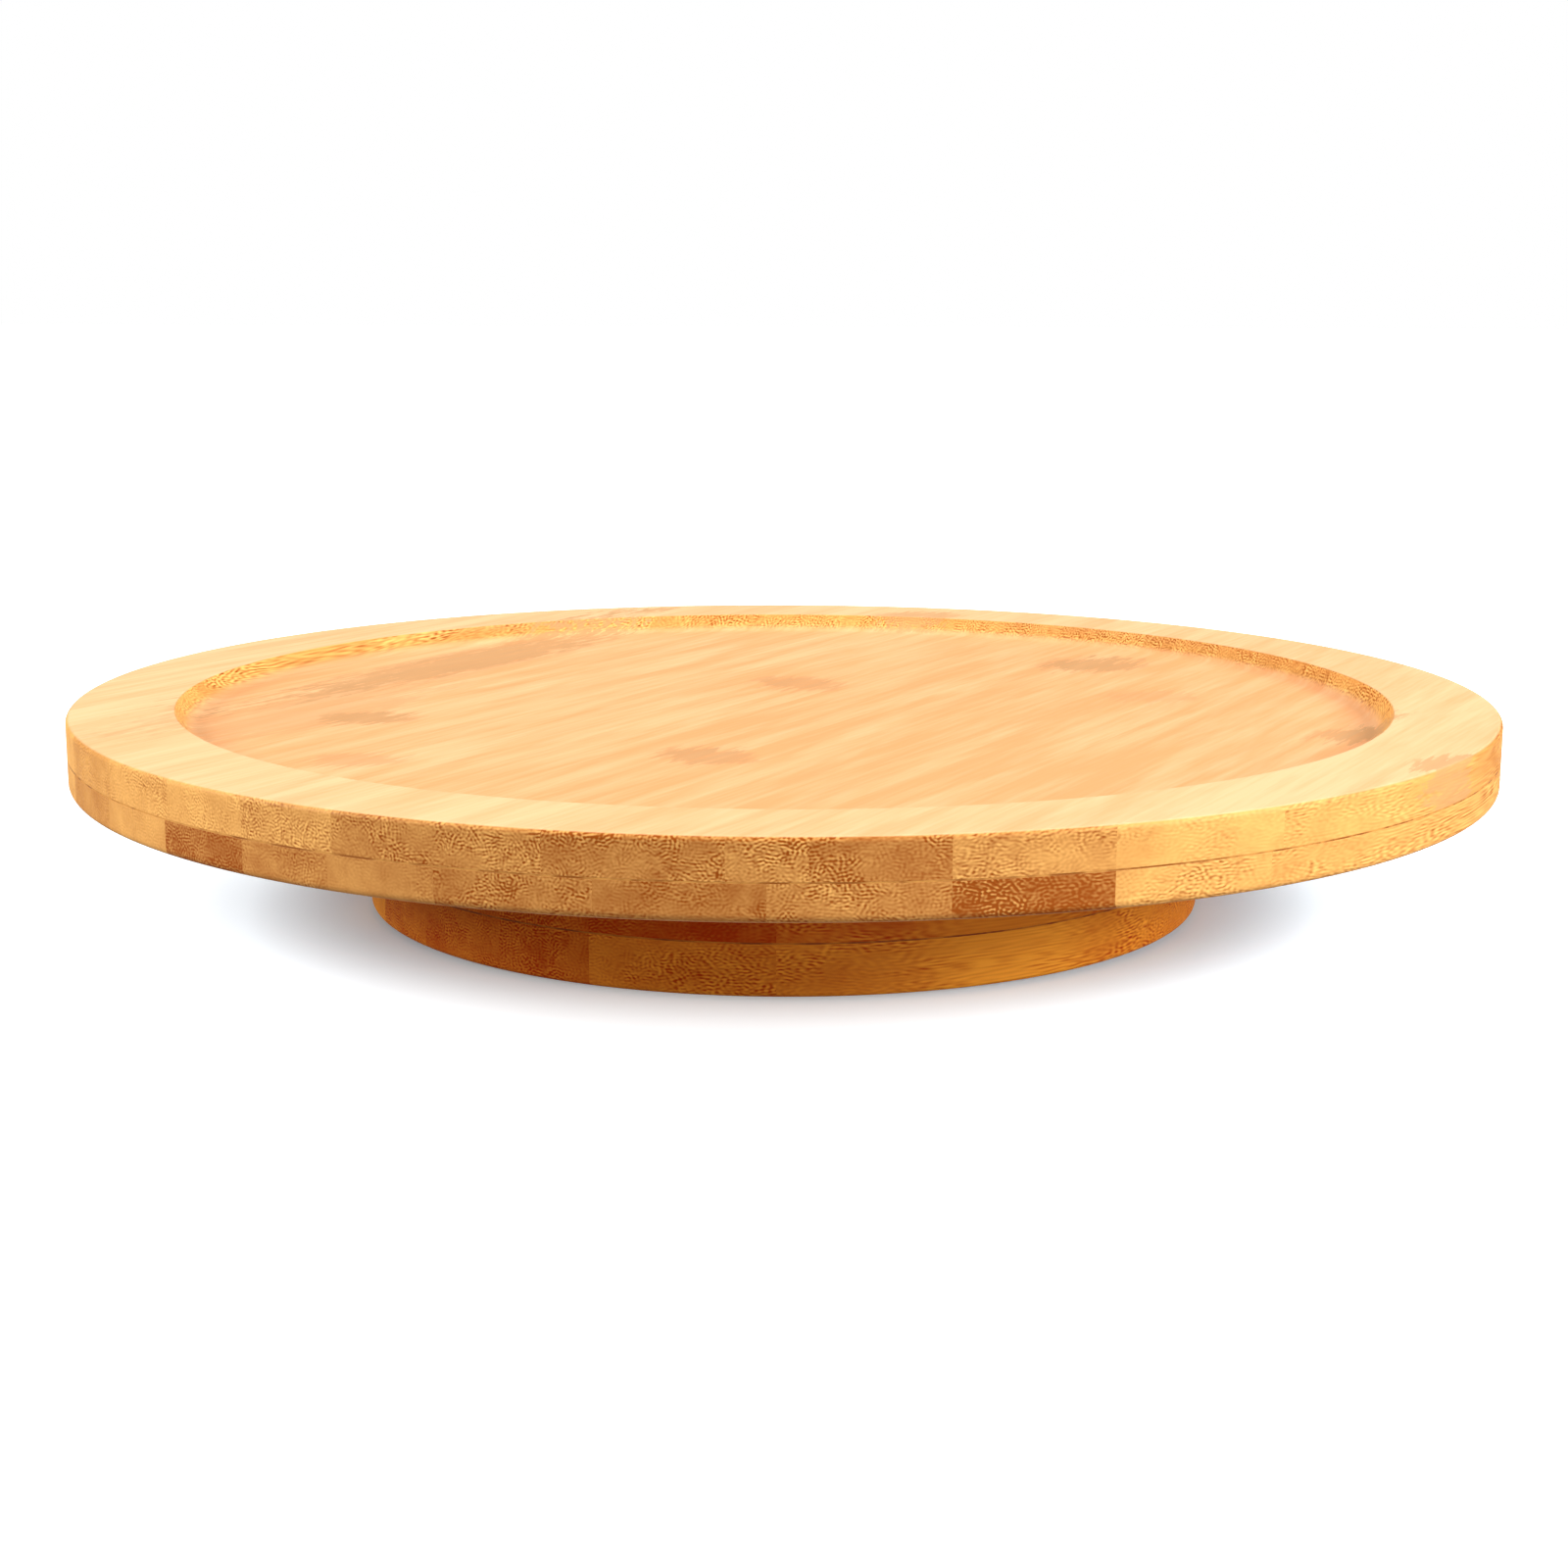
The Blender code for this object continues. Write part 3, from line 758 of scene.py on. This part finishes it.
TRAY_COLOURS = {
    "Face_Pale": (0.88, 0.54, 0.28), "Face_Deep": (0.81, 0.36, 0.145), "Edge_Pale": (0.94, 0.50, 0.14),
    "Edge_Deep": (0.31, 0.065, 0.002), "Patch_Colour": (0.55, 0.29, 0.12),
}
# The base's bamboo is darker and deeper than the tray's: partly its own colour, partly painted shade from the
# tray above
BASE_COLOURS_WITH_SHADE = {
    "Face_Pale": (0.66, 0.25, 0.03), "Face_Deep": (0.48, 0.12, 0.004), "Edge_Pale": (0.96, 0.37, 0.035),
    "Edge_Deep": (0.42, 0.035, 0.0), "Patch_Colour": (0.36, 0.09, 0.004),
}
TRAY_LOOK = {"radius": TRAY_RADIUS, "grain": TRAY_GRAIN, "colours": TRAY_COLOURS, "sheen": 0.11}
BASE_LOOK = {
    "radius": BASE_RADIUS, "grain": BASE_GRAIN, "colours": BASE_COLOURS_WITH_SHADE, "sheen": 0.06, "long_grain": -0.3,
    "patches": BASE_PATCHES, "recessed": False,
}
TRAY_UPPER = {
    **TRAY_LOOK, "top": TRAY_TOP, "long_grain": 0.2, "strips": TRAY_UPPER_STRIPS,
    "patches": TRAY_UPPER_PATCHES, "recessed": True,
}
TRAY_LOWER = {
    **TRAY_LOOK, "top": lower_high.z, "long_grain": 0.0, "strips": TRAY_LOWER_STRIPS,
    "patches": TRAY_LOWER_PATCHES, "recessed": False,
}
BASE_UPPER = {**BASE_LOOK, "top": base_upper_high.z, "strips": BASE_UPPER_STRIPS}
BASE_LOWER = {**BASE_LOOK, "top": base_lower_high.z, "strips": BASE_LOWER_STRIPS}


def glue_material(name, pale, dark):
    """Dried glue line, broken here and there where the strips meet closely."""
    made = bpy.data.materials.new(name)
    made.use_nodes = True
    n = Nodes(made.node_tree)
    shader = made.node_tree.nodes["Principled BSDF"]
    place = n.add("TexCoord").outputs["Object"]
    patches = n.ramp(n.noise(place, 160.0, 3.0, 0.6), 0.38, 0.62)
    n.feed(shader.inputs["Base Color"], n.mix(patches, (*dark, 1), (*pale, 1)))
    n.feed(shader.inputs["Roughness"], n.ramp(patches, 0.0, 1.0, 0.45, 0.65))
    shader.inputs["Specular IOR Level"].default_value = 0.2
    return made


def centre_of(node):
    """The middle of an upright CAD node, seen from above."""
    low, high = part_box(node)
    return (low.x + high.x) / 2, (low.y + high.y) / 2


def pilot(node, mouth):
    """The hole for a screw: from the board's face to just past the screw's point."""
    low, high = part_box(node)
    tip = high.z + HOLE_GAP if mouth < low.z else low.z - HOLE_GAP
    return (*centre_of(node), min(tip, mouth), max(tip, mouth), SHANK_RADIUS + HOLE_GAP)


def foot_pocket(node):
    low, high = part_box(node)
    return (*centre_of(node), -CUT_PAST, high.z + HOLE_GAP, (high.x - low.x) / 2 + HOLE_GAP)


def access_hole():
    """The hole through the base that the tray's screws are driven through."""
    return (math.hypot(*centre_of("tray_screw_1")), 0, -CUT_PAST, base_upper_high.z + CUT_PAST, ACCESS_RADIUS)


def build_tray_boards(groups):
    upper = bamboo("tray_upper_bamboo", groups, TRAY_UPPER)
    lower = bamboo("tray_lower_bamboo", groups, TRAY_LOWER)

    recess = recess_outline()
    outline = board_outline(TRAY_RADIUS, tray_low.z, TRAY_TOP, SEAM_ARRIS, TRAY_TOP_ROUNDING, recess)
    finish_piece(turned("tray_upper_board", outline), upper, "tray", "tray_bamboo", "tray_upper_panel")

    outline = board_outline(TRAY_RADIUS, lower_low.z, lower_high.z, TRAY_BOTTOM_ROUNDING, SEAM_ARRIS)
    board = turned("tray_lower_board", outline)
    cut(board, rods("tray_pilots", [pilot("tray_screw_%d" % i, lower_low.z - CUT_PAST) for i in SCREWS]))
    finish_piece(board, lower, "tray", "tray_bamboo", "tray_lower_panel")


def build_base_boards(groups):
    upper = bamboo("base_upper_bamboo", groups, BASE_UPPER)
    lower = bamboo("base_lower_bamboo", groups, BASE_LOWER)

    outline = board_outline(BASE_RADIUS, base_upper_low.z, base_upper_high.z, SEAM_ARRIS, BASE_ROUNDING)
    board = turned("base_upper_board", outline)
    holes = [pilot("base_screw_%d" % i, base_upper_high.z + CUT_PAST) for i in SCREWS]
    cut(board, rods("base_pilots", holes + [access_hole()]))
    finish_piece(board, upper, "base", "base_bamboo", "base_upper_panel")

    outline = board_outline(BASE_RADIUS, base_lower_low.z, base_lower_high.z, BASE_ROUNDING, SEAM_ARRIS)
    board = turned("base_lower_board", outline)
    pockets = [foot_pocket("rubber_foot_%d" % i) for i in FEET]
    cut(board, rods("base_pockets", pockets + [access_hole()]))
    finish_piece(board, lower, "base", "base_bamboo", "base_lower_panel")


def glue_film(name, radius, low, high):
    """A round film between two boards, just inside their edge."""
    reach = radius - GLUE_INSET
    return turned(name, [(0, low), (reach, low), (reach, high), (0, high)])


def build_glue_lines():
    tray_glue = glue_material("tray_glue", pale=(0.62, 0.28, 0.06), dark=(0.30, 0.09, 0.01))
    # The base's glue is darker than the tray's: partly painted shade, as for the base's boards
    base_glue = glue_material("base_glue", pale=(0.55, 0.17, 0.012), dark=(0.26, 0.055, 0.003))

    film = glue_film("tray_glue_line", TRAY_RADIUS, lower_high.z, tray_low.z)
    film.data.set_sharp_from_angle(angle=SHARP_ANGLE)
    finish_piece(film, tray_glue, "tray", "tray_bamboo")

    film = glue_film("base_glue_line", BASE_RADIUS, base_lower_high.z, base_upper_low.z)
    cut(film, rods("base_film_hole", [access_hole()]))
    finish_piece(film, base_glue, "base", "base_bamboo")


def build_boards():
    groups = {"board": board_group(fibre_group()), "patch": patch_group()}
    build_tray_boards(groups)
    build_base_boards(groups)
    build_glue_lines()


# ---------------------------------------------------------------- bearing, screws and feet


def marks_group():
    """Small marks that every smooth finish has: soft clouds, fine scratches and dust."""
    group, n, given, result = new_group(
        "fine_marks",
        sockets("Vector", "Place") + sockets("Float", "Scale"),
        sockets("Float", "Clouds", "Scratches", "Dust"),
    )
    place = n.vector("SCALE", given["Place"], (0, 0, 0))
    n.feed(place.node.inputs["Scale"], given["Scale"])
    n.feed(result["Clouds"], n.ramp(n.noise(place, 1.0, 4.0, 0.6), 0.3, 0.7))
    drawn = n.vector("MULTIPLY", n.vector("ADD", place, (3.0, 7.0, 1.0)), (14.0, 0.5, 6.0))
    n.feed(result["Scratches"], n.ramp(n.noise(drawn, 1.0, 3.0, 0.7, 0.4), 0.62, 0.72))
    n.feed(result["Dust"], n.ramp(n.noise(place, 9.0, 2.0, 0.5), 0.55, 0.75))
    return group


def worn_finish(name, marks, pale, dark, metallic, roughness, scale, relief, track=False):
    """A material with clouds of tone, fine scratches and a little relief; track polishes the balls' path."""
    track_colour = (0.30, 0.29, 0.28, 1)
    track_half_width = 0.25 * MM
    track_end = 0.7 * MM
    made = bpy.data.materials.new(name)
    made.use_nodes = True
    n = Nodes(made.node_tree)
    shader = made.node_tree.nodes["Principled BSDF"]
    place = n.add("TexCoord").outputs["Object"]
    mark = use_group(n, marks, Place=place, Scale=scale)
    colour = n.mix(mark["Clouds"], (*pale, 1), (*dark, 1))
    rough = n.ramp(mark["Clouds"], 0.0, 1.0, *roughness, smooth=False)
    rough = n.math("ADD", rough, n.math("MULTIPLY", mark["Scratches"], 0.12))
    if track:
        off_track = n.math("ABSOLUTE", n.math("SUBTRACT", from_axis(n, place), RACE_RADIUS))
        path = n.ramp(off_track, track_half_width, track_end, 1.0, 0.0)
        colour = n.mix(n.math("MULTIPLY", path, 0.35), colour, track_colour)
        rough = n.math("SUBTRACT", rough, n.math("MULTIPLY", path, 0.2), clamp=True)
    n.feed(shader.inputs["Base Color"], n.mix(n.math("MULTIPLY", mark["Dust"], 0.15), colour, (*pale, 1)))
    n.feed(shader.inputs["Roughness"], rough)
    shader.inputs["Metallic"].default_value = metallic
    add_relief(n, shader, n.math("SUBTRACT", mark["Dust"], mark["Scratches"]), strength=0.35, distance=relief)
    return made


def plate_outlines():
    """Closed sections of the lower and the upper plate, as (radius, height), with the balls between them."""
    flange_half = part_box("bearing_lower_plate")[1].x
    plate_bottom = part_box("bearing_lower_plate")[0].z
    cage_low, cage_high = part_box("ball_cage")
    lip_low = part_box("bearing_upper_plate")[0].z
    flange = BALL_HEIGHT - plate_bottom
    shoulder = (cage_high.z - cage_low.z) / 2 + CAGE_GAP
    slope_end = flange_half - FLANGE_MARGIN
    reach = flange_half * math.sqrt(2)
    neck = RACE_RADIUS - NECK_WIDTH

    def face(side):
        """One face of the pressing, heights away from the balls: side 0 towards them, 1 away from them."""
        groove = BALL_RADIUS + BALL_GAP + side * SHEET
        level = shoulder + side * SHEET
        edge = math.degrees(math.asin(level / groove))
        bend = side * SHEET * BEND_SHARE
        rim = flange - (1 - side) * SHEET
        slope = [(reach, rim), (slope_end - bend, rim), (RACE_RADIUS + SHOULDER_WIDTH - bend, level)]
        return slope + arc((RACE_RADIUS, 0), groove, edge, 180 - edge, 14)

    inner_edge = neck + NECK_GAP
    lower = face(0) + [(inner_edge, shoulder), (inner_edge, shoulder + SHEET)] + face(1)[::-1]
    lip = lip_low - BALL_HEIGHT
    lip_edge = neck + LIP_WIDTH
    neck_out = [(neck, shoulder), (neck, lip + SHEET), (lip_edge, lip + SHEET), (lip_edge, lip)]
    neck_in = [(neck - SHEET, lip), (neck - SHEET, shoulder + SHEET)]
    upper = face(0) + neck_out + neck_in + face(1)[::-1]
    return [(r, BALL_HEIGHT - h) for r, h in lower], [(r, BALL_HEIGHT + h) for r, h in upper]


def build_plate(node, body, outline, zinc):
    """A pressed plate, trimmed square with round corners, with a hole for each screw."""
    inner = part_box("bearing_lower_plate")[1].x - FLANGE_CORNER
    quarters = ((inner, inner, 0), (-inner, inner, 90), (-inner, -inner, 180), (inner, -inner, 270))
    square = []
    for x, y, start in quarters:
        square += arc((x, y), FLANGE_CORNER, start, start + 90, 12)
    plate = turned(node + "_pressing", fillet(outline, PLATE_ROUNDING), PLATE_TURN_STEPS, closed=True)
    cut(plate, prism("square", square, 0, TRAY_TOP), "INTERSECT")
    holes = [(*centre_of("base_screw_%d" % i), 0, TRAY_TOP, SHANK_RADIUS + HOLE_GAP) for i in SCREWS]
    cut(plate, rods("screw_holes", holes))
    finish_piece(plate, zinc, body, "zinc_plate", node)


def build_balls(steel):
    for number in range(1, BALLS + 1):
        node = "bearing_ball_%02d" % number
        low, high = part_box(node)
        shape = bmesh.new()
        middle = Matrix.Translation((low + high) / 2)
        bmesh.ops.create_uvsphere(shape, u_segments=40, v_segments=24, radius=BALL_RADIUS, matrix=middle)
        ball = solid(node + "_polished", shape)
        ball.data.shade_smooth()
        finish_piece(ball, steel, "ball_ring", "ball_steel", node)


def build_cage(nylon):
    """The flat ring that spaces the balls, with a round pocket for each."""
    low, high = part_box("ball_cage")
    inner = 2 * RACE_RADIUS - high.x
    section = [(inner, low.z), (high.x, low.z), (high.x, high.z), (inner, high.z)]
    cage = turned("ball_cage_ring", fillet(section, CAGE_ROUNDING), CAGE_TURN_STEPS, closed=True)
    pockets = []
    for number in range(BALLS):
        angle = math.tau * number / BALLS
        place = (RACE_RADIUS * math.cos(angle), RACE_RADIUS * math.sin(angle))
        pockets.append((*place, low.z - CUT_PAST, high.z + CUT_PAST, BALL_RADIUS + BALL_GAP))
    cut(cage, rods("pockets", pockets, CAGE_POCKET_STEPS))
    finish_piece(cage, nylon, "ball_ring", "cage_nylon", "ball_cage")


def screw_head(head_radius):
    """A pan head with a cross recess, its underside at z = 0."""
    edge = 0.15 * MM
    into_shank = 0.3 * MM
    crown = 0.65 * SCREW_HEAD_HEIGHT
    arm = 2.3 * MM
    half_width = 0.5 * MM
    recess_low = SCREW_HEAD_HEIGHT - 1.35 * MM
    recess_taper = 0.55
    outline = [(0, -into_shank), (head_radius - edge, 0), (head_radius, edge)]
    outline += arc((head_radius - crown, SCREW_HEAD_HEIGHT - crown), crown, 0, 90, 10)
    head = turned("screw_head", outline + [(0, SCREW_HEAD_HEIGHT)], SCREW_HEAD_STEPS)
    for along, across in ((arm, half_width), (half_width, arm)):
        corners = [(along, across), (-along, across), (-along, -across), (along, -across)]
        cut(head, prism("recess_arm", corners, recess_low, SCREW_HEAD_HEIGHT + CUT_PAST, recess_taper))
    return head


def add_threaded_shank(shape, length):
    """Adds a wood screw's shank to a bmesh: rings of points from z = 0 down, then the point."""
    core = 0.7 * SHANK_RADIUS
    pitch = 1.5 * MM
    point = 2.2 * MM
    ridge_share = 0.2
    rise = 0.11 * MM
    steps = 40
    before = None
    for number in range(int((length - 0.4 * MM) / rise) + 1):
        depth = number * rise
        taper = min(1.0, (length - depth) / point)
        ring = []
        for step in range(steps):
            turn = step / steps
            off = abs((depth / pitch + turn) % 1.0 - 0.5)
            ridge = max(0.0, 1 - off / ridge_share) if depth > pitch else 0.0
            radius = (core + (SHANK_RADIUS - core) * ridge) * taper
            angle = turn * math.tau
            ring.append(shape.verts.new((radius * math.cos(angle), radius * math.sin(angle), -depth)))
        if before:
            for i in range(steps):
                j = (i + 1) % steps
                shape.faces.new((before[i], before[j], ring[j], ring[i]))
        else:
            shape.faces.new(ring[::-1])
        before = ring
    tip = shape.verts.new((0, 0, -length))
    for i in range(steps):
        shape.faces.new((before[i], before[(i + 1) % steps], tip))


def build_screw(node, body, number, steel):
    """A pan-head wood screw: point down in the base, point up in the tray."""
    turn_apart = 0.7  # radians from one screw's cross recess to the next one's
    low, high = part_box(node)
    head = screw_head((high.x - low.x) / 2)
    shape = bmesh.new()
    shape.from_mesh(head.data)
    bpy.data.objects.remove(head)
    add_threaded_shank(shape, high.z - low.z - SCREW_HEAD_HEIGHT)
    bmesh.ops.recalc_face_normals(shape, faces=shape.faces)
    screw = solid(node + "_threaded", shape)
    screw.data.shade_smooth()
    screw.data.set_sharp_from_angle(angle=SHARP_ANGLE)
    seat = high.z - SCREW_HEAD_HEIGHT if body == "base" else low.z + SCREW_HEAD_HEIGHT
    over = Matrix.Rotation(math.pi if body == "tray" else 0, 4, "X")
    turn = Matrix.Rotation(turn_apart * number, 4, "Z")
    screw.data.transform(Matrix.Translation((*centre_of(node), seat)) @ over @ turn)
    finish_piece(screw, steel, body, "screw_steel", node)


def build_screws(steel):
    for body in ("base", "tray"):
        for number in SCREWS:
            build_screw("%s_screw_%d" % (body, number), body, number, steel)


def build_feet(rubber):
    """Turned rubber feet with a rounded edge and a shallow dish underneath."""
    dish = 0.25 * MM
    dish_edge = 0.06 * MM
    low_edge = 0.6 * MM
    high_edge = 0.2 * MM
    for number in FEET:
        node = "rubber_foot_%d" % number
        low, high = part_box(node)
        radius = (high.x - low.x) / 2
        outline = [(0, dish), (0.35 * radius, dish), (0.42 * radius, dish_edge), (0.5 * radius, 0)]
        outline += arc((radius - low_edge, low_edge), low_edge, -90, 0, 8)
        outline += arc((radius - high_edge, high.z - high_edge), high_edge, 0, 90, 4) + [(0, high.z)]
        foot = turned(node + "_moulded", outline, SMALL_TURN_STEPS)
        foot.data.transform(Matrix.Translation((*centre_of(node), 0)))
        foot.data.set_sharp_from_angle(angle=SHARP_ANGLE)
        finish_piece(foot, rubber, "base", "foot_rubber", node)


def build_hardware():
    marks = marks_group()
    zinc = worn_finish(
        "zinc_plating", marks, pale=(0.70, 0.71, 0.72), dark=(0.52, 0.54, 0.57), metallic=1.0,
        roughness=(0.24, 0.42), scale=180, relief=0.01 * MM, track=True,
    )
    polished = worn_finish(
        "ball_steel", marks, pale=(0.78, 0.78, 0.79), dark=(0.66, 0.67, 0.69), metallic=1.0,
        roughness=(0.06, 0.16), scale=500, relief=0.004 * MM,
    )
    steel = worn_finish(
        "screw_steel", marks, pale=(0.66, 0.66, 0.66), dark=(0.48, 0.49, 0.51), metallic=1.0,
        roughness=(0.25, 0.45), scale=400, relief=0.01 * MM,
    )
    nylon = worn_finish(
        "cage_nylon", marks, pale=(0.80, 0.79, 0.74), dark=(0.70, 0.68, 0.61), metallic=0.0,
        roughness=(0.38, 0.52), scale=160, relief=0.02 * MM,
    )
    rubber = worn_finish(
        "foot_rubber", marks, pale=(0.045, 0.045, 0.047), dark=(0.02, 0.02, 0.021), metallic=0.0,
        roughness=(0.6, 0.85), scale=350, relief=0.03 * MM,
    )
    lower_outline, upper_outline = plate_outlines()
    build_plate("bearing_lower_plate", "base", lower_outline, zinc)
    build_plate("bearing_upper_plate", "tray", upper_outline, zinc)
    build_balls(polished)
    build_cage(nylon)
    build_screws(steel)
    build_feet(rubber)


add_camera()
add_floor()
add_lights()
build_boards()
build_hardware()
